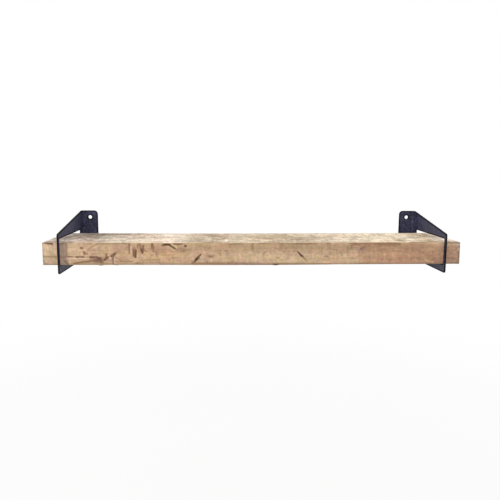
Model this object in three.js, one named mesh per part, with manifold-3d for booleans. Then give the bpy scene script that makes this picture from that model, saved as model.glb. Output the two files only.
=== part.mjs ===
// Wall shelf: one thick rough-sawn timber board lying loose in two folded sheet-steel brackets.
// Each bracket is one piece: a side plate standing out from the wall, with a closed window that
// the board passes through, and a flange folded inwards against the wall with two screw holes.
//
// Millimetres, +Z up, +X to the right along the board. The wall is the plane Y = 0 and the shelf
// stands out from it towards -Y. The origin is midway between the two upper wall screws.

import * as THREE from "three";
import { mergeVertices } from "three/addons/utils/BufferGeometryUtils.js";
import Module from "manifold-3d";

// Board
const BOARD_LENGTH = 900;
const BOARD_DEPTH = 180;
const BOARD_THICKNESS = 48;
const BOARD_ARRIS_RADIUS = 1.5;
const BOARD_OVERHANG = 34; // past the outer face of each side plate

// Room left around the board in the bracket windows
const SEAT_GAP = 0.3; // under the board
const HEADROOM = 8; // over the board
const FRONT_PLAY = 2;
const REAR_PLAY = 2;

// Steel sheet and its fold
const SHEET_THICKNESS = 3;
const FOLD_INSIDE_RADIUS = 5;

// Side plate around the window
const REAR_POST_DEPTH = 23; // wall to window
const FRONT_BAR_DEPTH = 9;
const LOWER_ARM_HEIGHT = 18;
const UPPER_ARM_FRONT_HEIGHT = 11;
const UPPER_ARM_WALL_HEIGHT = 45;
const TOP_FLAT_LENGTH = 6; // level stretch at the wall, before the top edge slopes down
const TOP_BLEND_RADIUS = 30;
const FRONT_CORNER_RADIUS = 5;
const WINDOW_CORNER_RADIUS = 2;

// Flange on the wall
const FLANGE_WIDTH = 40; // from the outer face of the side plate
const FLANGE_CORNER_RADIUS = 9;
const SCREW_HOLE_DIAMETER = 9;
const SCREW_HOLE_INSET = 18.5; // from the free edge of the flange
const SCREW_HOLE_EDGE_DISTANCE = 16; // from the top edge, and from the bottom edge

// Smoothness of rounded stretches
const ARC_SEGMENTS = 8; // along a rounded corner
const HOLE_SEGMENTS = 32; // round a screw hole

// Levels and distances from the wall, measured from the lower edge of the window
const windowHeight = SEAT_GAP + BOARD_THICKNESS + HEADROOM;
const windowDepth = REAR_PLAY + BOARD_DEPTH + FRONT_PLAY;
const windowFront = REAR_POST_DEPTH + windowDepth;
const bracketDepth = windowFront + FRONT_BAR_DEPTH;
const bracketTop = windowHeight + UPPER_ARM_WALL_HEIGHT;
const bracketBottom = -LOWER_ARM_HEIGHT;
const bracketFrontTop = windowHeight + UPPER_ARM_FRONT_HEIGHT;
const upperScrewLevel = bracketTop - SCREW_HOLE_EDGE_DISTANCE;
const lowerScrewLevel = bracketBottom + SCREW_HOLE_EDGE_DISTANCE;
const screwFromSidePlate = FLANGE_WIDTH - SCREW_HOLE_INSET;

// A cutting shape stands this far past the steel that it cuts or keeps
const CUT_MARGIN = 5;

const wasm = await Module();
wasm.setup();

const steel = new THREE.MeshStandardMaterial({ color: 0x35353f, roughness: 0.6, metalness: 0.3 });
steel.name = "powder_coated_steel";
const timber = new THREE.MeshStandardMaterial({ color: 0xbb9a7b, roughness: 0.85, metalness: 0 });
timber.name = "rough_sawn_timber";

// The points of a corner given as [x, y, radius], rounded by its radius between its neighbours.
function roundedCorner([x, y, radius], [beforeX, beforeY], [afterX, afterY]) {
  const corner = new THREE.Vector2(x, y);
  if (radius === 0) {
    return [corner];
  }
  const toBefore = new THREE.Vector2(beforeX, beforeY).sub(corner).normalize();
  const toAfter = new THREE.Vector2(afterX, afterY).sub(corner).normalize();
  const halfAngle = Math.acos(toBefore.dot(toAfter)) / 2;
  const towardsCentre = toBefore.clone().add(toAfter).normalize();
  const centre = corner.clone().addScaledVector(towardsCentre, radius / Math.sin(halfAngle));
  const start = corner.clone().addScaledVector(toBefore, radius / Math.tan(halfAngle));
  const turn = Math.sign(toAfter.cross(toBefore)) * (Math.PI - 2 * halfAngle);
  const points = [];
  for (let step = 0; step <= ARC_SEGMENTS; step += 1) {
    points.push(start.clone().rotateAround(centre, (turn * step) / ARC_SEGMENTS));
  }
  return points;
}

// A closed outline through corners given as [x, y, radius].
function roundedOutline(corners) {
  const points = corners.flatMap((corner, index) => {
    const before = corners.at(index - 1);
    const after = corners[(index + 1) % corners.length];
    return roundedCorner(corner, before, after);
  });
  return new THREE.Shape(points);
}

function rectangleCorners(left, right, bottom, top, radius) {
  return [
    [left, bottom, radius],
    [right, bottom, radius],
    [right, top, radius],
    [left, top, radius],
  ];
}

function extruded(outline, depth) {
  return new THREE.ExtrudeGeometry(outline, { depth, bevelEnabled: false });
}

// Turns a shape drawn as (distance from the wall, height) and extruded over a width centred on
// zero, so that its outline stands in the YZ plane and its width runs along X.
function turnedToSide(geometry, width) {
  const outwards = new THREE.Vector3(0, -1, 0);
  const upwards = new THREE.Vector3(0, 0, 1);
  const sideways = new THREE.Vector3(-1, 0, 0);
  geometry.translate(0, 0, -width / 2);
  return geometry.applyMatrix4(new THREE.Matrix4().makeBasis(outwards, upwards, sideways));
}

// Turns a shape drawn as (X, Z) and extruded from the wall, so that it runs out from the wall.
function turnedToWall(geometry) {
  const sideways = new THREE.Vector3(1, 0, 0);
  const upwards = new THREE.Vector3(0, 0, 1);
  const outwards = new THREE.Vector3(0, -1, 0);
  return geometry.applyMatrix4(new THREE.Matrix4().makeBasis(sideways, upwards, outwards));
}

function solidFrom(geometry) {
  geometry.deleteAttribute("normal");
  geometry.deleteAttribute("uv");
  const merged = mergeVertices(geometry);
  const vertProperties = merged.getAttribute("position").array;
  const triVerts = new Uint32Array(merged.getIndex().array);
  return new wasm.Manifold(new wasm.Mesh({ numProp: 3, vertProperties, triVerts }));
}

function geometryFrom(solid) {
  const { vertProperties, triVerts } = solid.getMesh();
  const geometry = new THREE.BufferGeometry();
  geometry.setAttribute("position", new THREE.BufferAttribute(vertProperties, 3));
  geometry.setIndex(new THREE.BufferAttribute(triVerts, 1));
  geometry.computeVertexNormals();
  return geometry;
}

// The folded sheet seen from above: the flange along the wall, the fold, and the side plate
// running out from the wall. side is 1 where the flange points to +X and -1 where it points to -X.
function foldedSheet(side) {
  const outsideRadius = FOLD_INSIDE_RADIUS + SHEET_THICKNESS;
  const section = [
    [0, 0, outsideRadius],
    [0, -bracketDepth - CUT_MARGIN, 0],
    [SHEET_THICKNESS, -bracketDepth - CUT_MARGIN, 0],
    [SHEET_THICKNESS, -SHEET_THICKNESS, FOLD_INSIDE_RADIUS],
    [FLANGE_WIDTH + CUT_MARGIN, -SHEET_THICKNESS, 0],
    [FLANGE_WIDTH + CUT_MARGIN, 0, 0],
  ];
  const mirrored = section.map(([x, y, radius]) => [side * x, y, radius]);
  const height = bracketTop - bracketBottom + 2 * CUT_MARGIN;
  const geometry = extruded(roundedOutline(mirrored), height);
  return solidFrom(geometry.translate(0, 0, bracketBottom - CUT_MARGIN));
}

// The side plate's outline with its window, as a block wide enough to take in the whole flange.
function sideProfile() {
  const outline = roundedOutline([
    [-CUT_MARGIN, bracketBottom, 0],
    [bracketDepth, bracketBottom, FRONT_CORNER_RADIUS],
    [bracketDepth, bracketFrontTop, FRONT_CORNER_RADIUS],
    [TOP_FLAT_LENGTH, bracketTop, TOP_BLEND_RADIUS],
    [-CUT_MARGIN, bracketTop, 0],
  ]);
  const window = rectangleCorners(REAR_POST_DEPTH, windowFront, 0, windowHeight, WINDOW_CORNER_RADIUS);
  outline.holes.push(roundedOutline(window));
  const width = 2 * (FLANGE_WIDTH + CUT_MARGIN);
  return solidFrom(turnedToSide(extruded(outline, width), width));
}

// The flange's outline, with its free corners rounded, as a block that runs out past the front of
// the side plate.
function flangeProfile(side) {
  const outline = roundedOutline([
    [-side * CUT_MARGIN, bracketBottom - CUT_MARGIN, 0],
    [side * screwFromSidePlate, bracketBottom - CUT_MARGIN, 0],
    [side * screwFromSidePlate, bracketBottom, 0],
    [side * FLANGE_WIDTH, bracketBottom, FLANGE_CORNER_RADIUS],
    [side * FLANGE_WIDTH, bracketTop, FLANGE_CORNER_RADIUS],
    [side * screwFromSidePlate, bracketTop, 0],
    [side * screwFromSidePlate, bracketTop + CUT_MARGIN, 0],
    [-side * CUT_MARGIN, bracketTop + CUT_MARGIN, 0],
  ]);
  const depth = bracketDepth + 2 * CUT_MARGIN;
  return solidFrom(turnedToWall(extruded(outline, depth)).translate(0, CUT_MARGIN, 0));
}

function screwHole(side, level) {
  const length = SHEET_THICKNESS + 2 * CUT_MARGIN;
  const radius = SCREW_HOLE_DIAMETER / 2;
  const hole = new THREE.CylinderGeometry(radius, radius, length, HOLE_SEGMENTS);
  return solidFrom(hole.translate(side * screwFromSidePlate, -SHEET_THICKNESS / 2, level));
}

// One bracket, with the outer face of its side plate at X = 0.
function makeBracket(name, side) {
  const solid = foldedSheet(side)
    .intersect(sideProfile())
    .intersect(flangeProfile(side))
    .subtract(screwHole(side, upperScrewLevel))
    .subtract(screwHole(side, lowerScrewLevel));
  const bracket = new THREE.Mesh(geometryFrom(solid), steel);
  bracket.name = name;
  bracket.position.x = -side * (BOARD_LENGTH / 2 - BOARD_OVERHANG);
  return bracket;
}

// The board, lying in both windows with its ends standing out past the brackets.
function makeBoard() {
  const rear = REAR_POST_DEPTH + REAR_PLAY;
  const section = rectangleCorners(
    rear,
    rear + BOARD_DEPTH,
    SEAT_GAP,
    SEAT_GAP + BOARD_THICKNESS,
    BOARD_ARRIS_RADIUS,
  );
  const geometry = turnedToSide(extruded(roundedOutline(section), BOARD_LENGTH), BOARD_LENGTH);
  const board = new THREE.Mesh(geometryFrom(solidFrom(geometry)), timber);
  board.name = "shelf_board";
  return board;
}

const seatedShelf = new THREE.Group();
seatedShelf.add(makeBoard());
seatedShelf.add(makeBracket("left_bracket", 1));
seatedShelf.add(makeBracket("right_bracket", -1));
seatedShelf.position.z = -upperScrewLevel;

const wallShelf = new THREE.Group();
wallShelf.add(seatedShelf);

export default wallShelf;
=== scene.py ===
import math

import bmesh
import bpy
from mathutils import Matrix, Vector, noise


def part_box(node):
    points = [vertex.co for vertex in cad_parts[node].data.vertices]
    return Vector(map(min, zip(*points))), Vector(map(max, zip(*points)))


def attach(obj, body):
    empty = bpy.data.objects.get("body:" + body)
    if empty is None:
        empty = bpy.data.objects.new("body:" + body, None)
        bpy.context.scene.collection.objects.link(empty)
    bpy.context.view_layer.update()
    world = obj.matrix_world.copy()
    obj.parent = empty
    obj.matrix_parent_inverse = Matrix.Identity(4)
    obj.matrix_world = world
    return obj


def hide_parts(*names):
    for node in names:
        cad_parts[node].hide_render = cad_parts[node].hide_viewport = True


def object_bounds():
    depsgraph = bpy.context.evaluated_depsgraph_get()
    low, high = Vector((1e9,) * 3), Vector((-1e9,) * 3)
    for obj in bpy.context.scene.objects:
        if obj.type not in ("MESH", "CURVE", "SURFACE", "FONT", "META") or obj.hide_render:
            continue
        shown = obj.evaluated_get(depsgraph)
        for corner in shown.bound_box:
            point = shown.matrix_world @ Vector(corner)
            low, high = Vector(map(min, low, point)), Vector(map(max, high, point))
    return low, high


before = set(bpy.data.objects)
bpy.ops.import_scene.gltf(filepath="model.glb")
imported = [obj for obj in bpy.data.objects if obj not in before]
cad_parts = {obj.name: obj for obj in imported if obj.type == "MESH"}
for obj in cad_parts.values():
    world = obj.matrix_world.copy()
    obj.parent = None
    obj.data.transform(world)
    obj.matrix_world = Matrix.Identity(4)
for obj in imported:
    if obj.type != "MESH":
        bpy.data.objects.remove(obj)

cad_box = [list(corner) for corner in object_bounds()]

# Camera. It stands in front of the shelf, a little to the left of its middle and a little above
# its top, and looks slightly to the right and down.
CAMERA_LEFT_OF_MIDDLE = 0.0687
CAMERA_FROM_WALL = 1.4001
CAMERA_OVER_SCREWS = 0.1225
CAMERA_TURN_RIGHT = 0.0487
CAMERA_TILT_DOWN = 0.1458
CAMERA_ROLL = 0.0052
LENS_MM = 40.49
SENSOR_MM = 36.0

scene = bpy.context.scene
ahead = Vector((
    math.sin(CAMERA_TURN_RIGHT) * math.cos(CAMERA_TILT_DOWN),
    math.cos(CAMERA_TURN_RIGHT) * math.cos(CAMERA_TILT_DOWN),
    -math.sin(CAMERA_TILT_DOWN),
))
level_right = Vector((math.cos(CAMERA_TURN_RIGHT), -math.sin(CAMERA_TURN_RIGHT), 0.0))
camera_right = Matrix.Rotation(-CAMERA_ROLL, 3, ahead) @ level_right
camera_up = camera_right.cross(ahead)
camera_data = bpy.data.cameras.new("camera")
camera_data.lens = LENS_MM
camera_data.sensor_width = SENSOR_MM
camera = bpy.data.objects.new("camera", camera_data)
scene.collection.objects.link(camera)
camera.matrix_world = Matrix((camera_right, camera_up, -ahead)).transposed().to_4x4()
camera.location = (-CAMERA_LEFT_OF_MIDDLE, -CAMERA_FROM_WALL, CAMERA_OVER_SCREWS)
scene.camera = camera
scene.view_settings.view_transform = "Standard"

# Floor and light. The surround is white, and a pale floor well below the shelf fades into it with
# distance. Three broad lamps light the shelf softly, and a small warm lamp at the left throws the
# narrow shadow of the left bracket's front bar on the timber.
WHITE = (1, 1, 1, 1)
AMBIENT = 0.56
FLOOR_GREY = (0.8, 0.8, 0.8, 1)
FLOOR_DROP = 0.75
FLOOR_HALF_WIDTH = 6.0
FLOOR_FADE_START = 0.8
FLOOR_FADE_END = 2.6
FLOOR_LEAST_WHITE = 0.88


class Field:
    """One socket of a material or a world. Arithmetic on it adds Math nodes."""

    def __init__(self, tree, socket=None):
        self.tree = tree
        self.socket = socket

    def node(self, kind, settings=None, sockets=None, output=0):
        """Adds a node, makes its settings, then sets or links its sockets."""
        node = self.tree.nodes.new(kind)
        for name, value in (settings or {}).items():
            if name == "stops":
                stops = node.color_ramp.elements
                for place, _ in value[2:]:
                    stops.new(place)
                for stop, (place, colour) in zip(stops, value):
                    stop.position = place
                    stop.color = (*colour, 1)
            else:
                setattr(node, name, value)
        for name, value in (sockets or {}).items():
            if isinstance(value, Field):
                self.tree.links.new(value.socket, node.inputs[name])
            else:
                node.inputs[name].default_value = value
        return Field(self.tree, node.outputs[output]) if len(node.outputs) else None

    def maths(self, operation, *values):
        return self.node("ShaderNodeMath", {"operation": operation}, dict(enumerate(values)))

    def __add__(self, other):
        return self.maths("ADD", self, other)

    def __sub__(self, other):
        return self.maths("SUBTRACT", self, other)

    def __rsub__(self, other):
        return self.maths("SUBTRACT", other, self)

    def __mul__(self, other):
        return self.maths("MULTIPLY", self, other)

    __radd__ = __add__
    __rmul__ = __mul__

    def step(self, low, high):
        """0 below low, 1 above high, and smooth between them."""
        sockets = {"Value": self, "From Min": low, "From Max": high}
        return self.node("ShaderNodeMapRange", {"interpolation_type": "SMOOTHSTEP"}, sockets)


def empty_nodes(owner):
    """Clears the nodes of a world or a material, ready for its own."""
    owner.use_nodes = True
    owner.node_tree.nodes.clear()
    return Field(owner.node_tree)


def new_material(name):
    material = bpy.data.materials.new(name)
    return material, empty_nodes(material)


def seen_directly(field):
    """1 for the rays that show the surround and 0 for those that light the shelf with it."""
    camera_ray = field.node("ShaderNodeLightPath", output="Is Camera Ray")
    glossy_ray = field.node("ShaderNodeLightPath", output="Is Glossy Ray")
    transmission_ray = field.node("ShaderNodeLightPath", output="Is Transmission Ray")
    reflected = field.maths("MAXIMUM", glossy_ray, transmission_ray)
    return field.maths("MAXIMUM", camera_ray, reflected)


def mesh_piece(name, bm, material, smooth_degrees):
    """Makes a bmesh an object in place, smooth except along edges sharper than an angle."""
    data = bpy.data.meshes.new(name)
    for face in bm.faces:
        face.smooth = True
    bm.to_mesh(data)
    bm.free()
    data.set_sharp_from_angle(angle=math.radians(smooth_degrees))
    data.materials.append(material)
    piece = bpy.data.objects.new(name, data)
    scene.collection.objects.link(piece)
    return piece


world = bpy.data.worlds.new("surround")
scene.world = world
sky = empty_nodes(world)
lighting = sky.node("ShaderNodeBackground", None, {"Color": WHITE, "Strength": AMBIENT})
backdrop = sky.node("ShaderNodeBackground", None, {"Color": WHITE, "Strength": 1.0})
surround = sky.node("ShaderNodeMixShader", None, {0: seen_directly(sky), 1: lighting, 2: backdrop})
sky.node("ShaderNodeOutputWorld", None, {"Surface": surround})

floor_material, ground = new_material("floor")
floor_place = ground.node("ShaderNodeTexCoord", output="Object")
reach = ground.node("ShaderNodeVectorMath", {"operation": "LENGTH"}, {0: floor_place}, "Value")
distant = reach.step(FLOOR_FADE_START, FLOOR_FADE_END)
whiteness = FLOOR_LEAST_WHITE + distant * (1 - FLOOR_LEAST_WHITE)
matt = ground.node("ShaderNodeBsdfDiffuse", None, {"Color": FLOOR_GREY})
white = ground.node("ShaderNodeEmission", None, {"Color": WHITE, "Strength": 1.0})
shown = seen_directly(ground) * whiteness
floor_finish = ground.node("ShaderNodeMixShader", None, {0: shown, 1: matt, 2: white})
ground.node("ShaderNodeOutputMaterial", None, {"Surface": floor_finish})

shelf_low, shelf_high = (Vector(corner) for corner in cad_box)
bm = bmesh.new()
bmesh.ops.create_grid(bm, x_segments=1, y_segments=1, size=FLOOR_HALF_WIDTH)
bmesh.ops.translate(bm, verts=bm.verts, vec=(0, 0, shelf_low.z - FLOOR_DROP))
floor = mesh_piece("floor", bm, floor_material, 0)

# The small lamp is placed from the left bracket's front bar, and the broad ones from the shelf's
# middle: name, way to the lamp, width and watts.
KEY_DIRECTION = (-1.43, -1.0, 0.38)
KEY_DISTANCE = 1.0
KEY_WIDTH = 0.13
KEY_WATTS = 6.4
KEY_COLOUR = (1.0, 0.95, 0.88)
BROAD_LAMPS = (
    ("fill_lamp", (-0.1, -2.7, 0.6), 1.4, 21.5),
    ("low_lamp", (0.0, -0.9, -1.3), 1.5, 4.0),
    ("overhead_lamp", (0.0, -0.2, 2.0), 2.2, 24.0),
)


def add_lamp(name, aim, way, width, watts, colour=(1, 1, 1)):
    data = bpy.data.lights.new(name, "AREA")
    data.shape = "SQUARE"
    data.size = width
    data.energy = watts
    data.color = colour
    lamp = bpy.data.objects.new(name, data)
    scene.collection.objects.link(lamp)
    lamp.location = aim + way
    lamp.rotation_euler = (-way).to_track_quat("-Z", "Y").to_euler()
    lamp.visible_camera = False


shelf_middle = (shelf_low + shelf_high) / 2
left_bar = Vector((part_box("left_bracket")[0][0], shelf_low.y, shelf_middle.z))
way_to_key = Vector(KEY_DIRECTION).normalized() * KEY_DISTANCE
add_lamp("key_lamp", left_bar, way_to_key, KEY_WIDTH, KEY_WATTS, KEY_COLOUR)
for name, way, width, watts in BROAD_LAMPS:
    add_lamp(name, shelf_middle, Vector(way), width, watts)

# Steel brackets. Each is laser cut from 3 mm sheet, folded once and coated with a dark blue-grey
# textured powder. Two screws through its flange hold it to the wall. The sheet's edges are eased.
EDGE_EASING = 0.0004
RIM_WIDTH = 0.0040
FOLD_REACH = 0.0081
MERGE_DISTANCE = 1e-6
FLAT_ANGLE = 0.02
SHARP_ANGLE = 0.8
SQUARE_ON = 0.95
FOLD_EDGE_TILT = 0.2
BRACKET_SMOOTH_DEGREES = 50
COAT_RELIEF = 0.00008
MATT_SPECULAR = 0.2
COAT = (0.0035, 0.0045, 0.0180, 1)
COAT_PALE = (0.0680, 0.0710, 0.1330, 1)
RIM_COAT = (0.0030, 0.0030, 0.0080, 1)
CUT_EDGE_COAT = (0.0050, 0.0045, 0.0080, 1)


def blend_colours(factor, first, second, mode="MIX"):
    settings = {"data_type": "RGBA", "blend_type": mode, "clamp_factor": True}
    return factor.node("ShaderNodeMix", settings, {0: factor, 6: first, 7: second}, 2)


def object_axes(field):
    place = field.node("ShaderNodeTexCoord", output="Object")
    return [place.node("ShaderNodeSeparateXYZ", None, {0: place}, axis) for axis in "XYZ"]


def painted(field, name, output="Fac"):
    """What is kept on the mesh under a name, such as where an edge was cut."""
    return field.node("ShaderNodeAttribute", {"attribute_name": name}, None, output)


def speckle(axes, grains, detail=3.0):
    """Noise from 0 to 1 with so many grains to the metre along each axis."""
    stretched = {index: axis * count for index, (axis, count) in enumerate(zip(axes, grains))}
    place = axes[0].node("ShaderNodeCombineXYZ", None, stretched)
    sockets = {"Vector": place, "Scale": 1.0, "Detail": detail, "Roughness": 0.6}
    return place.node("ShaderNodeTexNoise", None, sockets)


def finish_material(field, colour, roughness, relief, depth):
    """A matt surface with a colour, a roughness and a relief of so many metres."""
    bump = {"Height": relief, "Distance": depth, "Strength": 1.0}
    normal = field.node("ShaderNodeBump", None, bump)
    sockets = {"Base Color": colour, "Roughness": roughness, "Normal": normal}
    sockets["Specular IOR Level"] = MATT_SPECULAR
    surface = field.node("ShaderNodeBsdfPrincipled", None, sockets)
    field.node("ShaderNodeOutputMaterial", None, {"Surface": surface})


coat_material, coat = new_material("powder_coat")
axes = object_axes(coat)
mottle = speckle(axes, (210, 100, 210), detail=2.0).step(0.38, 0.62)
cloud = speckle(axes, (35, 20, 35), detail=2.0).step(0.3, 0.7)
peel = speckle(axes, (900, 900, 900), detail=2.0)
grain = speckle(axes, (520, 420, 520), detail=2.0).step(0.36, 0.64)
rim = painted(coat, "rim").step(0.02, 0.65) * 0.95
coat_colour = blend_colours(mottle * 0.4 + grain * 0.4 + cloud * 0.2, COAT, COAT_PALE)
coat_colour = blend_colours(rim, coat_colour, RIM_COAT)
coat_colour = blend_colours(painted(coat, "cut_edge"), coat_colour, CUT_EDGE_COAT)
coat_roughness = 0.47 + mottle * 0.10 + rim * 0.4 - painted(coat, "fold") * 0.28
finish_material(coat, coat_colour, coat_roughness, peel + mottle * 0.5, COAT_RELIEF)


def stretch_of(face, outer_face):
    """Which stretch of the folded sheet a face lies on."""
    middle = face.calc_center_median()
    if middle.y < -FOLD_REACH:
        return "side plate"
    if abs(middle.x) < outer_face - FOLD_REACH:
        return "flange"
    return "fold"


def is_cut_edge(face, outer_face):
    """True on the narrow faces where the laser cut through the sheet, and on their easing."""
    stretch = stretch_of(face, outer_face)
    if stretch == "side plate":
        return abs(face.normal.x) < SQUARE_ON
    if stretch == "flange":
        return abs(face.normal.y) < SQUARE_ON
    return abs(face.normal.z) > FOLD_EDGE_TILT


def held_between(value, least, most):
    return min(max(value, least), most)


for node in ("left_bracket", "right_bracket"):
    low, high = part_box(node)
    outer_face = max(-low[0], high[0])
    bm = bmesh.new()
    bm.from_mesh(bpy.data.objects[node].data)
    bmesh.ops.remove_doubles(bm, verts=bm.verts, dist=MERGE_DISTANCE)
    bmesh.ops.dissolve_limit(bm, angle_limit=FLAT_ANGLE, verts=bm.verts, edges=bm.edges)
    # The clamp stops the easing short of its full width: at 0.11 mm on the left bracket, where the
    # screw holes hold it back, and at 0.33 mm on the right one.
    sharp = [edge for edge in bm.edges if edge.calc_face_angle(0) > SHARP_ANGLE]
    bmesh.ops.bevel(
        bm, geom=sharp, offset=EDGE_EASING, segments=2, profile=0.5, affect="EDGES",
        material=-1, clamp_overlap=True,
    )
    sheet = [face for face in bm.faces if not is_cut_edge(face, outer_face)]
    bmesh.ops.inset_region(
        bm, faces=sheet, thickness=RIM_WIDTH, use_boundary=True, use_even_offset=True
    )
    fold_layer = bm.faces.layers.float.new("fold")
    cut_edge_layer = bm.faces.layers.float.new("cut_edge")
    rim_layer = bm.verts.layers.float.new("rim")
    for face in bm.faces:
        if stretch_of(face, outer_face) == "fold":
            face[fold_layer] = 1.0
        if is_cut_edge(face, outer_face):
            face[cut_edge_layer] = 1.0
            for vert in face.verts:
                vert[rim_layer] = 1.0
    for vert in bm.verts:
        vert.co = [held_between(*limits) for limits in zip(vert.co, low, high)]
    bracket = mesh_piece(node + "_coated", bm, coat_material, BRACKET_SMOOTH_DEGREES)
    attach(bracket, "brackets")
    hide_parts(node)

# Timber board. One rough-sawn plank with weathered, torn fibres on top, and dents, a drying crack
# and stains on its front face. It lies loose in the brackets and has no finish.
BOARD_COLUMNS = 800
ROW_SPACING = 0.0090
FRONT_ROW_SPACING = 0.0015
ARRIS_ROWS = (0.0007, 0.0018)
TOP_ARRIS_RADIUS = 0.0011
BOTTOM_ARRIS_RADIUS = 0.0006
TOP_RELIEF = 0.0010
SAWN_RELIEF = 0.0003
MIDDLE_SAG = 0.0005
SAG_HALF_LENGTH = 0.25
UNDERSIDE_SWELL = 0.0008
SWELL_HALF_LENGTH = 0.17
BOARD_SMOOTH_DEGREES = 60

# Wear: how uneven it leaves the arrises, and how much of it is missing near the board's ends.
ARRIS_UNEVENNESS = 0.6
END_REACH = 0.04
END_ARRIS_UNWORN = 0.6
END_TOP_UNWORN = 0.9

# The strip at the front of the top that has lost its weathered fibres. It is wider to the right.
BARE_STRIP = 0.0015
WIDE_BARE_STRIP = 0.0075
STRIP_WIDENS_FROM = 0.05
STRIP_WIDENS_TO = 0.2
STRIP_UNEVENNESS = 0.8
STRIP_FADE_FROM = 0.3

# The wane, a stretch of the top front arris at the right that is rounded and worn bare
WANE_START = 0.317
WANE_LEAD = 0.01
WANE_RISE = 0.06
WANE_END = 0.405
WANE_FADE = 0.015
WANE_DEPTH = 0.0013
WANE_DEPTH_PAST_END = 0.15
WANE_HEIGHT = 0.012
WANE_SPREAD = 3
WANE_BROWNS_FROM = 0.36
WANE_BROWNS_TO = 0.43
WANE_LEAST_BROWN = 0.4
WORN_STRIP = 0.024
WORN_STRIP_RISE = 0.05

# Colours of the marks
CRACK = (0.060, 0.030, 0.013)
KNOT = (0.115, 0.060, 0.035)
RUST = (0.185, 0.098, 0.056)
BROWN = (0.265, 0.155, 0.088)
OLIVE = (0.290, 0.208, 0.112)
OCHRE = (0.360, 0.240, 0.115)
ROSE = (0.420, 0.262, 0.182)
MAUVE = (0.370, 0.265, 0.215)
PALE = (0.620, 0.440, 0.320)
STRAW = (0.580, 0.430, 0.250)
CREAM = (0.880, 0.760, 0.640)
UMBER = (0.230, 0.175, 0.135)
BLUSH = (0.600, 0.475, 0.420)
PLUM = (0.215, 0.125, 0.092)
TAN = (0.350, 0.250, 0.165)

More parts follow.
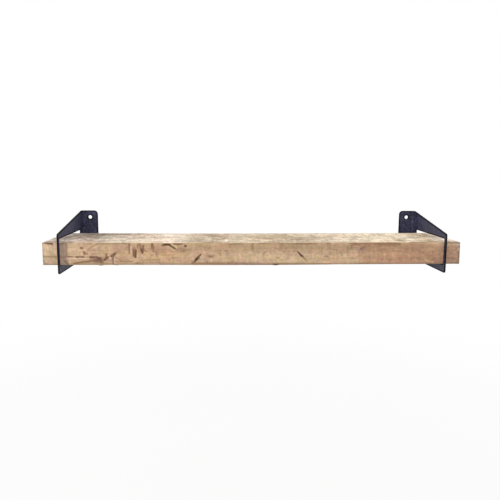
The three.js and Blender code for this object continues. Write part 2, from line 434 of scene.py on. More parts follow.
# Marks on the front face. Each is a stroke of a colour with its half width, strength and depth,
# and the places that it runs through: along the board from its middle and up from its underside.
# Lengths in the tables of marks are in millimetres.
FRONT_MARKS = (
    # The left end
    (UMBER, 0.9, 0.5, 0.0, (-449, 47.0), (-449, 30.0)),
    (MAUVE, 0.9, 0.7, 0.0, (-449, 30.0), (-448, 10.0)),
    (UMBER, 1.3, 0.8, 0.0, (-448, 9.0), (-446, 2.0), (-440, 1.0)),
    (ROSE, 1.4, 0.6, 0.0, (-437, 46.0), (-434, 38.0), (-436, 26.0)),
    (STRAW, 1.6, 0.6, 0.0, (-444, 38.0), (-443, 22.0)),
    (OLIVE, 1.2, 0.4, 0.0, (-429, 40.0), (-428, 22.0)),
    # Painted shade just under the top arris
    (BROWN, 1.0, 0.8, 0.0, (-449, 47.8), (-441, 47.8)),
    (KNOT, 1.5, 0.95, 0.8, (-441, 47.4), (-435, 46.8), (-429, 45.0)),
    (OLIVE, 1.3, 0.95, 0.4, (-448, 18.6), (-438, 18.2), (-420, 17.6)),
    (ROSE, 2.4, 0.6, 0.0, (-438, 9.0), (-430, 7.0)),
    (BROWN, 0.8, 0.5, 0.0, (-436, 1.4), (-418, 1.4)),
    # A painted shadow beside the left bracket's front bar, deepening the lamp's own shadow, and
    # marks at its edge
    (MAUVE, 6.5, 0.85, 0.0, (-408, 45.0), (-407, 4.0)),
    (BROWN, 1.0, 0.6, 0.0, (-400, 44.0), (-400, 20.0)),
    (RUST, 1.6, 0.6, 0.0, (-403, 9.0), (-397, 2.0)),
    # The drying crack near the left end, and the pale and rosy fibres beside it
    (STRAW, 0.8, 0.7, 0.0, (-395, 20.0), (-375, 19.6)),
    (STRAW, 0.8, 0.5, 0.0, (-362, 17.8), (-354, 17.8)),
    (BROWN, 0.5, 0.6, 0.3, (-423, 17.2), (-316, 17.0)),
    (RUST, 1.1, 1.0, 0.9, (-396, 17.8), (-388, 17.3)),
    (KNOT, 1.2, 1.0, 1.0, (-380, 17.3), (-364, 16.6)),
    (KNOT, 1.1, 1.0, 0.9, (-350, 17.0), (-336, 16.8)),
    (PALE, 0.8, 0.8, 0.0, (-399, 14.6), (-380, 14.4)),
    (MAUVE, 1.2, 0.5, 0.0, (-398, 11.6), (-382, 11.0)),
    (PALE, 0.8, 0.7, 0.0, (-374, 14.4), (-354, 13.4)),
    (ROSE, 2.0, 0.8, 0.0, (-356, 12.0), (-345, 11.0), (-339, 13.0)),
    (OCHRE, 1.2, 0.5, 0.0, (-392, 4.0), (-378, 9.6)),
    # The knot and its streak
    (MAUVE, 1.6, 0.7, 0.0, (-348, 8.0), (-338, 5.0)),
    (PLUM, 6.0, 0.8, 0.0, (-340, 10.5), (-327, 8.5)),
    (PLUM, 4.0, 0.9, 0.0, (-337, 13.0), (-329, 11.5)),
    (KNOT, 2.6, 0.9, 0.6, (-334, 14.4), (-330, 13.0)),
    (RUST, 1.8, 0.9, 0.0, (-339, 9.0), (-336, 8.0)),
    (RUST, 1.6, 0.8, 0.0, (-329, 8.0), (-325, 4.0)),
    (RUST, 1.0, 0.9, 0.0, (-342, 10.2), (-354, 7.6), (-370, 6.6), (-385, 3.0)),
    (BROWN, 0.9, 0.7, 0.0, (-345, 12.6), (-352, 11.0)),
    (OLIVE, 1.4, 0.9, 0.0, (-374, 1.6), (-340, 1.6), (-305, 1.4)),
    # Hammer marks right of the knot
    (KNOT, 1.9, 1.0, 0.8, (-320, 11.4), (-312, 16.0)),
    (RUST, 1.2, 0.6, 0.4, (-312, 16.0), (-306, 18.6)),
    (RUST, 1.5, 0.8, 0.4, (-316, 23.5), (-316, 18.0)),
    (ROSE, 2.6, 0.8, 0.0, (-312, 12.0), (-306, 8.0)),
    (RUST, 1.7, 0.7, 0.4, (-296, 27.0), (-300, 23.0)),
    (KNOT, 2.0, 1.0, 0.9, (-299, 23.0), (-305, 19.4)),
    (PLUM, 2.2, 0.95, 0.6, (-302, 20.0), (-302, 11.0)),
    (MAUVE, 1.4, 0.8, 0.0, (-307, 12.0), (-305, 8.0)),
    (RUST, 1.3, 0.9, 0.3, (-302, 11.0), (-301, 1.0)),
    (PALE, 1.0, 1.0, 0.0, (-309, 16.0), (-308, 14.4)),
    (PALE, 0.9, 0.8, 0.0, (-299, 14.0), (-299, 5.0)),
    (RUST, 1.6, 0.55, 0.3, (-297, 8.0), (-292, 6.4)),
    (RUST, 1.2, 0.45, 0.0, (-296, 15.2), (-291, 13.4)),
    (OLIVE, 1.3, 0.6, 0.0, (-290, 10.0), (-278, 12.0), (-268, 11.0)),
    (BROWN, 0.8, 0.7, 0.0, (-288, 7.6), (-262, 7.0)),
    (OLIVE, 2.4, 0.4, 0.0, (-329, 31.0), (-322, 28.0)),
    (PALE, 2.6, 0.3, 0.0, (-312, 30.0), (-304, 32.0)),
    # A growth ring that runs up to the arris, painted shade just under the arris, spots and
    # blotches
    (BROWN, 1.6, 0.65, 0.0, (-355, 31.5), (-352, 35.0), (-347, 39.0), (-338, 43.6), (-334, 45.6)),
    (OLIVE, 0.9, 0.9, 0.0, (-334, 45.8), (-308, 46.2), (-270, 46.4)),
    (OLIVE, 1.3, 0.8, 0.0, (-353, 46.0), (-346, 46.4)),
    (OLIVE, 1.2, 0.6, 0.0, (-396, 43.0), (-390, 46.6)),
    (BROWN, 0.8, 0.7, 0.0, (-415, 46.0), (-399, 46.6)),
    (RUST, 2.1, 1.0, 0.5, (-369, 37.0), (-367, 36.6)),
    (RUST, 1.8, 0.9, 0.4, (-363, 27.0), (-362, 24.6)),
    (BROWN, 2.2, 0.8, 0.0, (-363, 28.6), (-362, 24.4), (-356, 24.6)),
    (BROWN, 0.9, 0.6, 0.0, (-275, 38.0), (-258, 37.2)),
    (OCHRE, 0.9, 0.4, 0.0, (-290, 33.0), (-266, 32.6)),
    # Torn fibres
    (ROSE, 9.0, 0.5, 0.0, (-262, 36.0), (-244, 36.0)),
    (BROWN, 1.4, 0.9, 0.3, (-267, 45.4), (-267, 42.0)),
    (RUST, 1.1, 0.7, 0.3, (-267, 42.0), (-268, 24.0)),
    (PALE, 1.0, 0.6, 0.0, (-264, 41.0), (-264, 25.0)),
    (BROWN, 3.2, 0.7, 0.4, (-257, 34.0), (-257, 20.0)),
    (RUST, 1.0, 0.9, 0.5, (-259, 32.0), (-259, 20.0)),
    (KNOT, 1.4, 0.9, 0.7, (-254, 31.0), (-255, 16.4)),
    (BROWN, 1.2, 0.7, 0.0, (-250, 44.0), (-250, 38.0)),
    (BROWN, 2.4, 0.8, 0.3, (-245, 45.0), (-243, 36.4)),
    (RUST, 1.3, 0.8, 0.4, (-238, 42.4), (-238, 30.0)),
    (KNOT, 1.8, 0.9, 0.7, (-242, 33.0), (-240, 26.0)),
    (BROWN, 1.3, 0.7, 0.0, (-236, 31.0), (-231, 30.0)),
    (RUST, 3.4, 0.9, 0.5, (-219, 45.4), (-218, 38.0)),
    (BROWN, 3.0, 0.8, 0.3, (-218, 38.0), (-216, 29.0)),
    (PALE, 2.0, 0.5, 0.0, (-217, 25.0), (-214, 20.0)),
    (ROSE, 2.8, 0.8, 0.0, (-212, 27.0), (-205, 25.0)),
    (BROWN, 1.0, 0.7, 0.0, (-211, 30.0), (-210, 19.0)),
    (PALE, 2.2, 0.5, 0.0, (-242, 20.0), (-236, 17.0)),
    (BROWN, 1.0, 0.6, 0.0, (-222, 20.4), (-219, 20.0)),
    (OLIVE, 3.0, 0.6, 0.0, (-232, 11.0), (-205, 11.0)),
    (RUST, 0.8, 0.6, 0.0, (-254, 4.4), (-204, 4.2)),
    (PALE, 0.8, 0.4, 0.0, (-236, 2.6), (-206, 2.4)),
    (OCHRE, 1.6, 0.7, 0.0, (-183, 11.4), (-182, 9.6)),
    (BROWN, 2.2, 0.4, 0.0, (-182, 30.0), (-176, 27.4)),
    # A lifted arch of fibre and a nail dent
    (STRAW, 1.1, 0.6, 0.0, (-186, 38.4), (-179, 35.4), (-172, 31.6)),
    (RUST, 1.0, 1.0, 0.7, (-198, 42.2), (-194, 43.4)),
    (CRACK, 1.5, 1.0, 1.0, (-193, 43.6), (-184, 44.1), (-180, 42.4)),
    (KNOT, 1.2, 1.0, 0.8, (-180, 42.2), (-175, 38.4), (-171, 35.6)),
    (STRAW, 0.9, 0.9, 0.0, (-178, 44.6), (-167, 37.6)),
    # Painted shade just under the top arris, over a shallow dent
    (RUST, 1.0, 0.9, 0.4, (-173, 45.6), (-164, 44.6), (-156, 46.0)),
    (BROWN, 2.4, 0.6, 0.0, (-160, 31.0), (-152, 29.6)),
    (KNOT, 2.4, 1.0, 1.0, (-149, 41.0), (-148, 40.6)),
    # The left slit and what lies round it
    (PALE, 1.6, 0.8, 0.0, (-133, 14.0), (-131, 11.0)),
    (ROSE, 2.6, 0.6, 0.0, (-166, 9.0), (-140, 8.4)),
    (MAUVE, 3.0, 0.7, 0.0, (-119, 12.0), (-101, 11.4)),
    (PALE, 1.0, 0.8, 0.0, (-94, 12.4), (-92, 12.0)),
    (RUST, 1.0, 1.0, 0.6, (-134, 3.6), (-129, 7.6)),
    (CRACK, 2.5, 1.0, 1.2, (-127, 10.4), (-122, 16.0)),
    (RUST, 1.1, 1.0, 0.6, (-121, 17.4), (-116, 22.4)),
    (BROWN, 4.6, 0.5, 0.0, (-104, 18.6), (-87, 20.0)),
    (RUST, 1.6, 0.5, 0.0, (-98, 18.0), (-92, 17.0)),
    (PALE, 1.6, 0.5, 0.0, (-108, 26.6), (-100, 27.8), (-82, 23.0), (-77, 17.6)),
    (BROWN, 1.3, 0.6, 0.0, (-101, 33.2), (-96, 38.8)),
    (BROWN, 1.8, 0.7, 0.0, (-63, 30.6), (-60, 30.2)),
    (OLIVE, 1.2, 0.8, 0.0, (-54, 44.4), (-50, 44.0)),
    # Painted shade just under the top arris
    (OLIVE, 0.9, 0.9, 0.0, (-48, 46.0), (-32, 45.8)),
    (BROWN, 2.2, 0.7, 0.0, (-133, 3.0), (-60, 3.0), (-8, 2.0)),
    (BROWN, 1.2, 0.6, 0.0, (-50, 8.4), (-47, 8.2)),
    # The middle
    (MAUVE, 1.2, 0.8, 0.0, (-50, 0.8), (13, 0.8)),
    (RUST, 1.2, 0.5, 0.0, (-50, 0.6), (13, 0.6)),
    (BROWN, 3.2, 0.7, 0.0, (-5, 45.6), (-5, 36.0)),
    (OLIVE, 3.0, 0.4, 0.0, (-5, 36.0), (-3, 31.0)),
    (BROWN, 2.0, 0.5, 0.0, (22, 27.4), (18, 24.0)),
    (OLIVE, 2.0, 0.4, 0.0, (29, 30.0), (21, 27.0), (18, 22.0), (20, 15.0), (27, 10.0)),
    (PALE, 2.4, 0.6, 0.0, (28, 24.0), (34, 18.0)),
    (PALE, 1.8, 0.5, 0.0, (38, 35.0), (58, 25.0), (66, 19.0), (71, 10.0)),
    (OLIVE, 1.6, 0.7, 0.0, (48, 15.6), (52, 15.2)),
    (OLIVE, 1.6, 0.5, 0.0, (58, 11.0), (62, 10.6)),
    (OLIVE, 2.4, 0.5, 0.0, (54, 43.0), (72, 39.0), (92, 41.0)),
    # Painted shade just under the top arris
    (OLIVE, 1.0, 0.8, 0.0, (8, 46.2), (30, 46.2)),
    (OLIVE, 1.0, 0.8, 0.0, (54, 46.0), (90, 45.8)),
    (BROWN, 0.9, 0.9, 0.0, (90, 46.0), (122, 46.0)),
    (BROWN, 1.0, 0.7, 0.0, (13, 0.8), (110, 0.8)),
    (KNOT, 1.2, 0.8, 0.0, (40, 0.4), (50, 0.4)),
    # The right slit
    (PALE, 1.4, 0.6, 0.0, (103, 25.4), (108, 21.0)),
    (RUST, 0.8, 0.8, 0.5, (92, 28.6), (96, 25.0)),
    (KNOT, 0.8, 1.0, 0.8, (96, 25.0), (100, 20.6)),
    (CRACK, 1.3, 1.0, 1.0, (101, 19.8), (104, 17.6)),
    (BROWN, 0.7, 1.0, 0.5, (104, 17.6), (109, 12.0)),
    (OCHRE, 1.3, 0.9, 0.3, (109, 12.0), (113, 8.0)),
    # Towards the right
    # Painted shade just under the top arris
    (BROWN, 0.9, 0.7, 0.0, (126, 45.6), (134, 46.4)),
    (RUST, 0.9, 0.6, 0.0, (157, 46.2), (163, 46.0)),
    (OLIVE, 1.2, 0.8, 0.4, (152, 18.2), (158, 17.6)),
    (OLIVE, 1.6, 0.4, 0.0, (164, 27.0), (170, 26.6)),
    (BROWN, 1.4, 0.5, 0.0, (187, 27.0), (190, 19.6)),
    (BROWN, 1.2, 0.6, 0.0, (200, 33.6), (202, 32.6)),
    (BROWN, 1.0, 0.7, 0.0, (120, 0.8), (166, 0.8)),
    (RUST, 1.0, 0.5, 0.0, (224, 1.0), (250, 1.0)),
    (BROWN, 0.9, 0.7, 0.0, (209, 40.4), (214, 43.0), (226, 43.2), (229, 41.0)),
    (RUST, 1.2, 0.6, 0.0, (234, 38.8), (239, 37.0)),
    (MAUVE, 1.8, 0.8, 0.0, (222, 33.4), (228, 33.0)),
    (RUST, 1.8, 0.8, 0.3, (231, 34.4), (236, 32.6)),
    (MAUVE, 2.0, 0.7, 0.0, (236, 32.4), (241, 29.0)),
    (OCHRE, 1.4, 0.8, 0.0, (246, 34.0), (249, 31.0)),
    (STRAW, 3.0, 0.5, 0.0, (176, 9.0), (225, 9.0)),
    (ROSE, 1.4, 0.8, 0.0, (246, 10.0), (256, 13.4), (268, 13.0)),
    # Painted shade just under the top arris, over a shallow groove, and a broader band below it
    (BROWN, 1.2, 0.7, 0.3, (206, 46.2), (238, 45.4), (270, 45.6)),
    (BROWN, 2.0, 0.85, 0.4, (270, 45.4), (290, 44.6), (304, 45.2), (316, 44.4)),
    (BROWN, 3.2, 0.45, 0.0, (262, 42.5), (316, 42.0)),
    (BROWN, 5.0, 0.4, 0.0, (404, 30.0), (408, 14.0)),
    (RUST, 1.0, 0.4, 0.0, (270, 1.0), (400, 1.2)),
    (ROSE, 1.6, 0.6, 0.0, (270, 6.0), (340, 7.6)),
    (BROWN, 1.6, 0.5, 0.0, (300, 30.0), (330, 27.6)),
    (BROWN, 1.6, 0.5, 0.0, (352, 33.0), (372, 22.0), (379, 15.6)),
    (RUST, 1.2, 0.5, 0.0, (386, 9.0), (398, 14.0)),
    (PALE, 0.8, 0.5, 0.0, (372, 9.6), (392, 4.0)),
    # The right end
    (UMBER, 1.6, 0.9, 0.0, (441, 2.5), (449, 3.0)),
    (ROSE, 3.6, 0.9, 0.0, (420, 8.6), (440, 7.6)),
    (RUST, 1.2, 0.4, 0.0, (422, 14.0), (440, 13.0)),
    (BROWN, 3.4, 0.45, 0.0, (422, 29.0), (436, 22.0)),
    (PALE, 0.6, 0.4, 0.0, (430, 17.6), (442, 28.6)),
    (BROWN, 1.4, 0.8, 0.0, (449, 40.0), (449, 2.0)),
    (UMBER, 1.6, 0.6, 0.0, (446, 27.0), (448, 13.0)),
    (MAUVE, 1.4, 0.8, 0.0, (439, 40.0), (447, 37.0), (449, 32.0)),
    (PALE, 1.6, 0.9, 0.0, (441, 44.0), (446, 43.0)),
    (PALE, 1.2, 0.8, 0.0, (446, 33.0), (447, 31.0)),
    (PALE, 1.4, 0.5, 0.0, (430, 36.6), (438, 34.0)),
    # Painted shade just under the top arris
    (UMBER, 0.9, 0.9, 0.0, (419, 47.2), (449, 47.0)),
)

# Marks on top, given the same way: along the board from its middle and in from its front. They
# are drawn out from front to back to so many times their width.
TOP_MARK_STRETCH = 8
TOP_MARKS = (
    (BLUSH, 5.0, 0.55, 0.0, (-446, 30.0), (-418, 50.0)),
    (BLUSH, 5.0, 0.45, 0.0, (-446, 120.0), (-418, 130.0)),
    (MAUVE, 1.2, 0.9, 0.0, (-449, 6.0), (-424, 8.0)),
    # Umber and mauve right of the left bracket, reaching further along towards the back:
    # weathering, and painted shade of the bracket's upper arm
    (UMBER, 10.0, 0.5, 0.0, (-400, 140.0), (-352, 136.0)),
    (UMBER, 2.4, 0.9, 0.0, (-424, 92.0), (-409, 138.0)),
    (UMBER, 1.6, 0.7, 0.0, (-396, 150.0), (-366, 148.0)),
    (MAUVE, 1.6, 0.6, 0.0, (-400, 86.0), (-360, 112.0)),
    (UMBER, 1.6, 0.7, 0.0, (-396, 92.0), (-385, 84.0)),
    (UMBER, 1.4, 0.7, 0.0, (-357, 154.0), (-291, 160.0)),
    (UMBER, 1.4, 0.4, 0.0, (-291, 166.0), (-215, 166.0)),
    (UMBER, 2.2, 0.8, 0.0, (-410, 10.0), (-392, 16.0)),
    (BLUSH, 1.6, 0.6, 0.0, (-412, 38.0), (-366, 34.0)),
    (CREAM, 2.0, 0.5, 0.0, (-398, 54.0), (-386, 52.0)),
    (PALE, 1.6, 0.7, 0.0, (-384, 10.0), (-340, 12.0)),
    (CREAM, 3.0, 0.4, 0.0, (-346, 52.0), (-326, 54.0)),
    (CREAM, 2.4, 0.4, 0.0, (-318, 74.0), (-288, 72.0)),
    (CREAM, 2.2, 0.6, 0.0, (-62, 38.0), (-59, 40.0)),
    (TAN, 2.4, 0.6, 0.0, (318, 36.0), (336, 34.0)),
    (CREAM, 4.0, 0.4, 0.0, (352, 66.0), (372, 76.0)),
    (UMBER, 2.0, 0.6, 0.0, (402, 140.0), (406, 104.0)),
    (TAN, 4.0, 0.35, 0.0, (384, 46.0), (404, 46.0)),
    (CREAM, 4.0, 0.8, 0.0, (408, 50.0), (430, 60.0)),
    (CREAM, 9.0, 0.4, 0.0, (437, 24.0), (437, 172.0)),
    (CREAM, 3.0, 0.75, 0.0, (424, 34.0), (448, 34.0)),
    (TAN, 1.2, 0.8, 0.0, (424, 6.0), (449, 8.0)),
)

# Splinters that hang below the front arris: along, half length, drop.
SPLINTER_REACH = 0.006
SPLINTERS = ((-0.328, 0.005, 0.0014), (-0.295, 0.003, 0.0009), (0.045, 0.005, 0.0011))

# Worn stretches of the arris at the back of the top: along, half length, drop.
BACK_WEAR_REACH = 0.03
BACK_WEAR = (
    (-0.235, 0.030, 0.0006),
    (-0.155, 0.040, 0.0013),
    (-0.070, 0.045, 0.0011),
    (0.030, 0.050, 0.0006),
    (0.225, 0.040, 0.0005),
)

# A mark fades away from its line, to nothing at so many times its half width and so many
# millimetres more. A rounded arris takes the marks of the face that it turns this far towards.
# The seeds are places in the noise away from the board.
MM_PER_METRE = 1000
MARK_SPREAD = 1.2
MARK_FADE_MM = 2.5
ARRIS_SEED = 2.2
STRIP_SEED = 8.8
FACING = 0.3

board_low, board_high = (Vector(corner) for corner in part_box("shelf_board"))
board_length = board_high.x - board_low.x


def smooth_share(value, low, high):
    """0 below low, 1 above high, and smooth between them."""
    share = held_between((value - low) / (high - low), 0.0, 1.0)
    return share * share * (3 - 2 * share)


def ripple(place, waves, octaves=3):
    """Noise between about -1 and 1 with so many waves to the metre along each axis."""
    fineness, waves_per_octave = 0.8, 2.0
    return noise.fractal(place * Vector(waves), fineness, waves_per_octave, octaves)


def roughness_share(place, waves, octaves=3):
    """The same noise, from about 0 to 1."""
    return 0.5 + 0.5 * ripple(place, waves, octaves)


def bell(distance, half_length):
    return math.exp(-((distance / half_length) ** 2))


def total_drop(x, stretches):
    """How far a row of bells, each with a middle, a half length and a drop, lowers an arris."""
    return sum(drop * bell(x - middle, half_length) for middle, half_length, drop in stretches)


def distance_to_line(x, z, x0, z0, x1, z1):
    along_x, along_z = x1 - x0, z1 - z0
    share = ((x - x0) * along_x + (z - z0) * along_z) / (along_x**2 + along_z**2)
    share = held_between(share, 0.0, 1.0)
    return math.hypot(x - x0 - share * along_x, z - z0 - share * along_z)


def marks_at(x, across, marks, stretch=1):
    """The colour of the marks at a place, how much they cover it, and how deep they go."""
    x, across = x * MM_PER_METRE, across * MM_PER_METRE / stretch
    colour, cover, deepest = Vector(BROWN), 0.0, 0.0
    for tint, half_width, strength, depth, *line in marks:
        reach = MARK_SPREAD * half_width + MARK_FADE_MM
        stations = [station for station, _ in line]
        if not min(stations) - reach < x < max(stations) + reach:
            continue
        distance = min(
            distance_to_line(x, across, x0, across0 / stretch, x1, across1 / stretch)
            for (x0, across0), (x1, across1) in zip(line, line[1:])
        )
        share = strength * smooth_share(reach - distance, 0, reach)
        if share > 0:
            together = share + cover * (1 - share)
            colour = colour.lerp(Vector(tint), share / together)
            cover = together
            deepest = max(deepest, share * depth)
    return colour, cover, deepest / MM_PER_METRE


def past_wane(x):
    return smooth_share(x, WANE_END, WANE_END + WANE_FADE)


def wane_at(x, down, inward, place):
    """How much of the wane is at a place, from 0 to 1, and how deep it is cut there."""
    risen = smooth_share(x, WANE_START - WANE_LEAD, WANE_START + WANE_RISE)
    height = WANE_HEIGHT * (0.5 + 0.5 * smooth_share(x, WANE_START, board_high.x))
    height *= 1 + 0.25 * ripple(place, (60, 0, 0), 2)
    wane = risen * max(0.0, 1 - math.hypot(down, inward / WANE_SPREAD) / height)
    return wane, WANE_DEPTH * wane * (1 - (1 - WANE_DEPTH_PAST_END) * past_wane(x))


def bare_strip_at(x):
    """How far in from the front the top has lost its weathered fibres."""
    widened = smooth_share(x, STRIP_WIDENS_FROM, STRIP_WIDENS_TO)
    strip = BARE_STRIP + (WIDE_BARE_STRIP - BARE_STRIP) * widened
    strip *= 1 + STRIP_UNEVENNESS * ripple(Vector((x, STRIP_SEED, 0)), (60, 1, 1))
    worn = smooth_share(x, WANE_START, WANE_START + WORN_STRIP_RISE) * (1 - past_wane(x))
    return strip + WORN_STRIP * worn


def split_rows(bm, axis, places):
    """Cuts the mesh through by a plane at each place along an axis."""
    normal = [0, 0, 0]
    normal[axis] = 1
    for place in places:
        parts = bm.verts[:] + bm.edges[:] + bm.faces[:]
        point = [place * share for share in normal]
        bmesh.ops.bisect_plane(bm, geom=parts, dist=1e-7, plane_co=point, plane_no=normal)


def row_places(low, high, spacing):
    """Rows close together along both arrises and evenly spaced between them."""
    near = [low + reach for reach in ARRIS_ROWS]
    far = [high - reach for reach in reversed(ARRIS_ROWS)]
    count = round((far[0] - near[-1]) / spacing)
    step = (far[0] - near[-1]) / count
    return near + [near[-1] + step * row for row in range(1, count)] + far


bm = bmesh.new()
bmesh.ops.create_cube(bm, size=1.0)
bmesh.ops.scale(bm, vec=board_high - board_low, verts=bm.verts)
bmesh.ops.translate(bm, vec=(board_low + board_high) / 2, verts=bm.verts)
split_rows(bm, 1, row_places(board_low.y, board_high.y, ROW_SPACING))
split_rows(bm, 2, row_places(board_low.z, board_high.z, FRONT_ROW_SPACING))
end_rows = [board_low.x + reach for reach in ARRIS_ROWS]
end_rows += [board_high.x - reach for reach in ARRIS_ROWS]
split_rows(bm, 0, end_rows)
lengthwise = [edge for edge in bm.edges if edge.calc_length() > board_length / 2]
bmesh.ops.subdivide_edges(bm, edges=lengthwise, cuts=BOARD_COLUMNS - 1, use_grid_fill=True)

mark_layer = bm.verts.layers.float_color.new("marks")
weather_layer = bm.verts.layers.float.new("weathered")
wane_layer = bm.verts.layers.float.new("wane")
end_layer = bm.verts.layers.float.new("end_grain")

for vert in bm.verts:
    place = vert.co.copy()
    x = place.x
    up = place.z - board_low.z
    down = board_high.z - place.z
    inward = place.y - board_low.y
    outward = board_high.y - place.y
    near_end = bell(min(x - board_low.x, board_high.x - x), END_REACH)

    # Wear has rounded the arrises off, some stretches more than others, and the ends the least.
    radius = TOP_ARRIS_RADIUS if down < up else BOTTOM_ARRIS_RADIUS
    radius *= 1 + ARRIS_UNEVENNESS * ripple(Vector((x, ARRIS_SEED, place.z)), (45, 1, 20), 2)
    radius *= 1 - END_ARRIS_UNWORN * near_end
    core = Vector(
        held_between(value, low + radius, high - radius)
        for value, low, high in zip(place, board_low, board_high)
    )
    normal = (place - core).normalized()
    on_front = max(-normal.y, 0) ** 2
    on_back = max(normal.y, 0) ** 2
    on_top = max(normal.z, 0) ** 2
    on_bottom = max(-normal.z, 0) ** 2
    on_end = normal.x**2

    # Each face is lowered by its own roughness, and by the dents, the wane and the worn arris.
    colour, cover, dent = Vector(BROWN), 0.0, 0.0
    if on_front > FACING:
        colour, cover, dent = marks_at(x, up, FRONT_MARKS)
    elif on_top > FACING:
        colour, cover, dent = marks_at(x, inward, TOP_MARKS, TOP_MARK_STRETCH)
    wane, wane_cut = wane_at(x, down, inward, place)
    sawn = SAWN_RELIEF * roughness_share(place, (35, 60, 90))
    end_sawn = SAWN_RELIEF * roughness_share(place, (1, 90, 160), 4)
    torn = TOP_RELIEF * (1 - END_TOP_UNWORN * near_end) * roughness_share(place, (28, 75, 1), 4)
    worn = total_drop(x, BACK_WEAR) * (1 - smooth_share(outward, 0, BACK_WEAR_REACH))
    relief = on_front * (sawn + dent + wane_cut) + on_back * 2 * sawn + on_bottom * sawn
    relief += on_top * (torn + worn + wane_cut) + on_end * end_sawn
    place = core + normal * (radius - max(relief, 0.0))

    # Splinters hang from the underside's front arris, and the board sags a little.
    at_front = 1 - smooth_share(inward, 0, SPLINTER_REACH)
    place.z -= on_bottom * at_front * total_drop(x, SPLINTERS)
    swell = on_bottom * UNDERSIDE_SWELL * bell(x, SWELL_HALF_LENGTH)
    place.z -= MIDDLE_SAG * bell(x, SAG_HALF_LENGTH) + swell
    vert.co = place

    bare = bare_strip_at(x)
    browned = smooth_share(x, WANE_BROWNS_FROM, WANE_BROWNS_TO)
    vert[mark_layer] = (*colour, cover)
    vert[weather_layer] = on_top * smooth_share(inward, STRIP_FADE_FROM * bare, bare)
    vert[wane_layer] = wane * (WANE_LEAST_BROWN + (1 - WANE_LEAST_BROWN) * browned)
    vert[end_layer] = on_end

# Colours along the board, from its left end to its right end: sapwood, then reddish heartwood.
UPPER_TONES = (
    (0.00, (0.480, 0.350, 0.250)),
    (0.12, (0.445, 0.308, 0.202)),
    (0.24, (0.425, 0.288, 0.182)),
    (0.60, (0.410, 0.285, 0.178)),
    (0.72, (0.450, 0.305, 0.190)),
    (0.77, (0.385, 0.232, 0.143)),
    (1.00, (0.420, 0.260, 0.172)),
)
LOWER_TONES = (
    (0.00, (0.460, 0.336, 0.232)),
    (0.15, (0.430, 0.298, 0.192)),
    (0.30, (0.490, 0.330, 0.210)),
    (0.41, (0.485, 0.340, 0.222)),
    (0.50, (0.520, 0.373, 0.248)),
    (0.60, (0.500, 0.360, 0.236)),
    (0.735, (0.535, 0.392, 0.258)),
    (0.775, (0.480, 0.300, 0.185)),
    (0.93, (0.405, 0.238, 0.150)),
    (1.00, (0.420, 0.255, 0.182)),
)
TOP_TONES = (
    (0.03, (0.500, 0.440, 0.370)),
    # The dark stop at 0.07, just right of the left bracket, is partly the top's own tone and
    # partly painted shade of the bracket's upper arm
    (0.07, (0.380, 0.305, 0.240)),
    (0.13, (0.570, 0.475, 0.380)),
    (0.23, (0.700, 0.580, 0.465)),
    (0.29, (0.860, 0.765, 0.645)),
    (0.35, (0.560, 0.450, 0.335)),
    (0.40, (0.430, 0.335, 0.235)),
    (0.45, (0.660, 0.540, 0.405)),
    (0.53, (0.570, 0.455, 0.325)),
    (0.62, (0.575, 0.460, 0.332)),
    (0.70, (0.745, 0.618, 0.470)),
    (0.80, (0.810, 0.685, 0.515)),
    (0.88, (0.870, 0.745, 0.565)),
    (0.93, (0.690, 0.560, 0.410)),
)
PINK_TINT = (1.05, 0.96, 0.95, 1)
STRAW_TINT = (0.99, 1.01, 0.93, 1)
ROSY_TINT = (1.03, 0.965, 1.00, 1)
YELLOW_TINT = (0.99, 1.01, 0.89, 1)
WANE_TAN = (0.540, 0.390, 0.255, 1)
BOTTOM_EDGE_BROWN = (0.200, 0.140, 0.090, 1)
WEATHERED_GREY = (0.300, 0.245, 0.165, 1)
BLEACHED = (0.880, 0.780, 0.640, 1)
END_BROWN = (0.410, 0.270, 0.165, 1)
RING_BROWN = (0.150, 0.085, 0.045, 1)

# Where one finish gives way to the next, from a start to an end: up from the underside for the
# upper tones and the darkening towards the bottom, and back from the front for the finish of the
# front.
UPPER_TONES_MEET = (0.020, 0.034)
BOTTOM_DARKENING_ENDS = (0.0012, 0.0058)
FRONT_FINISH_ENDS = (0.003, 0.011)

# The tree's heart, which the growth rings run about, the width of one ring, and the depth of the
# fibres' finest relief
HEART_BEHIND_FRONT = 0.065
HEART_BELOW_BOARD = 0.125
RING_WIDTH = 0.003696
FIBRE_RELIEF = 0.0006


def shade(colour, tone):
    """Makes a colour darker or lighter. A tone of 1 leaves it alone."""
    return colour.node("ShaderNodeVectorMath", {"operation": "SCALE"}, {0: colour, "Scale": tone})


def sway(pattern, amount):
    """A pattern from 0 to 1 made to sway by an amount about nothing."""
    return (pattern - 0.5) * amount


def ramp(factor, stops):
    return factor.node("ShaderNodeValToRGB", {"stops": stops}, {0: factor})


timber_material, timber = new_material("rough_sawn_timber")
axes = object_axes(timber)
x, y, z = axes
height = z - board_low.z
mark_colour = painted(timber, "marks", "Color")
mark_cover = painted(timber, "marks", "Alpha")
weathered = painted(timber, "weathered")
waney = painted(timber, "wane")
end_grain = painted(timber, "end_grain")

fibre = speckle(axes, (22, 460, 460), detail=5.0)
bands = speckle(axes, (4, 75, 75))
patches = speckle(axes, (13, 32, 32))
upright = speckle(axes, (80, 4, 10))
kerf = speckle(axes, (170, 24, 45))
flecks = speckle(axes, (180, 60, 180))
flakes = speckle(axes, (60, 90, 90), detail=4.0)
grit = speckle(axes, (330, 330, 330))
hue = speckle(axes, (60, 150, 150))
streaks = speckle(axes, (36, 40, 40), detail=4.0)
long_streaks = speckle(axes, (7, 140, 140), detail=4.0).step(0.3, 0.7)
wander = speckle(axes, (5, 3, 3), detail=1.0)
chips = speckle((x + y * 0.12 + sway(patches, 0.015), y, z), (150, 36, 36))

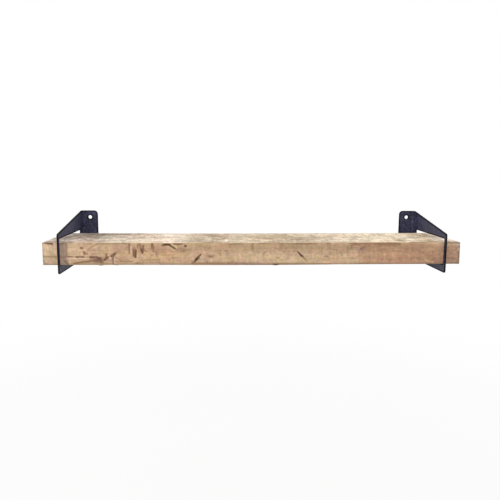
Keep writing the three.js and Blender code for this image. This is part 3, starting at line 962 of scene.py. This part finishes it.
# Growth rings, about a heart that wanders a little along the board
heart_y = y - (board_low.y + HEART_BEHIND_FRONT) + sway(bands, 0.005)
heart_z = z - (board_low.z - HEART_BELOW_BOARD) + sway(patches, 0.008)
squared = heart_y * heart_y + heart_z * heart_z
ring_radius = squared.maths("SQRT", squared) + sway(wander, 0.03)
turn = ring_radius * (2 * math.pi / RING_WIDTH) + patches * 2.0
rings = turn.maths("SINE", turn) * 0.5 + 0.5
ring_lines = rings.step(0.1, 1.0)

# The sawn faces. The front keeps the finest saw marks, and the others show more of the rings.
along = (x - board_low.x + sway(patches, 0.06)) * (1 / board_length)
upper = (height + sway(bands, 0.02) + sway(patches, 0.012)).step(*UPPER_TONES_MEET)
wood = blend_colours(upper, ramp(along, LOWER_TONES), ramp(along, UPPER_TONES))
wood = blend_colours(waney.step(0.0, 0.8), wood, WANE_TAN)
wood = blend_colours(patches.step(0.5, 0.75), wood, PINK_TINT, "MULTIPLY")
wood = blend_colours(bands.step(0.5, 0.7), wood, STRAW_TINT, "MULTIPLY")
wood = blend_colours(hue.step(0.50, 0.62), wood, ROSY_TINT, "MULTIPLY")
wood = blend_colours((1.0 - hue).step(0.50, 0.62), wood, YELLOW_TINT, "MULTIPLY")
off_front = (y - board_low.y).step(*FRONT_FINISH_ENDS)
saw_marks = sway(upright, 0.4) + sway(kerf, 0.45) + sway(flecks, 0.75)
figure = sway(long_streaks, 0.30) + sway(ring_lines, 0.26) + sway(patches.step(0.3, 0.7), 0.16)
wood_tone = 1.0 + sway(fibre, 0.7) + sway(bands, 0.45) + sway(flakes, 0.7)
wood_tone = wood_tone + saw_marks * (1.0 - off_front * 0.75) + figure * off_front
wood = shade(wood, wood_tone)
# Darker towards the underside: the underside itself and the lowest few millimetres of the other
# faces
bottom_darkening = 1.0 - (height + sway(patches, 0.004)).step(*BOTTOM_DARKENING_ENDS)
wood = blend_colours(bottom_darkening * 0.6, wood, BOTTOM_EDGE_BROWN)

# The weathered top has torn and chipped fibres, greyed in places and bleached in others.
top = ramp(along, TOP_TONES)
top = blend_colours((1.0 - patches).step(0.48, 0.6), top, PINK_TINT, "MULTIPLY")
top = blend_colours(bands.step(0.46, 0.6), top, STRAW_TINT, "MULTIPLY")
torn = (streaks * 0.5 + flakes * 0.15 + fibre * 0.1 + chips * 0.25).step(0.42, 0.58)
chipped = sway(chips.step(0.40, 0.60), along.step(0.55, 0.75) * 0.14 + 0.12)
drawn_out = sway(long_streaks, 0.3)
top_tone = 0.77 + torn * 0.33 + chipped + sway(fibre, 0.5) + drawn_out + sway(ring_lines, 0.17)
top = shade(top, top_tone)
greyed = (chips * 0.6 + grit * 0.4).step(0.54, 0.66)
top = blend_colours(greyed * 0.35, top, WEATHERED_GREY)
bleached = (chips * 0.4 + streaks * 0.6 + (1.0 - grit) * 0.2).step(0.62, 0.74)
top = blend_colours(bleached * 0.5, top, BLEACHED)
ragged_edge = sway(fibre, 0.5) + sway(grit, 0.4)
timber_colour = blend_colours((weathered + ragged_edge).step(0.25, 0.75), wood, top)

# The marks. The fibres break their edges up, but only where they cover the timber at all.
marked = (mark_cover + sway(grit, 0.3) + sway(fibre, 0.3) + sway(kerf, 0.4)).step(0.08, 0.95)
marked = marked * (1.0 - (1.0 - mark_cover).step(0.97, 1.0))
mark_tone = 1.0 + sway(fibre, 0.5) + sway(flecks, 0.4)
mark_tone = mark_tone + weathered * (sway(torn, 0.35) + sway(chips, 0.6) + drawn_out)
timber_colour = blend_colours(marked, timber_colour, shade(mark_colour, mark_tone))

# The cut ends show the rings full on, and fine checks running out from the heart.
angle = heart_y.maths("ARCTAN2", heart_y, heart_z)
checks = speckle((angle, ring_radius, x), (90, 12, 4), detail=2.0).step(0.60, 0.68)
ends = blend_colours(rings.step(0.2, 1.0) * 0.45, END_BROWN, RING_BROWN)
ends = shade(ends, 0.45 + grit * 0.6 + patches * 0.5)
ends = blend_colours(checks * 0.55, ends, RING_BROWN)
timber_colour = blend_colours(end_grain.step(0.45, 0.8), timber_colour, ends)

timber_roughness = 0.78 + fibre * 0.14
timber_relief = fibre * 0.45 + flakes * 0.35 + grit * 0.2
finish_material(timber, timber_colour, timber_roughness, timber_relief, FIBRE_RELIEF)

board = mesh_piece("timber_board", bm, timber_material, BOARD_SMOOTH_DEGREES)
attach(board, "board")
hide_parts("shelf_board")
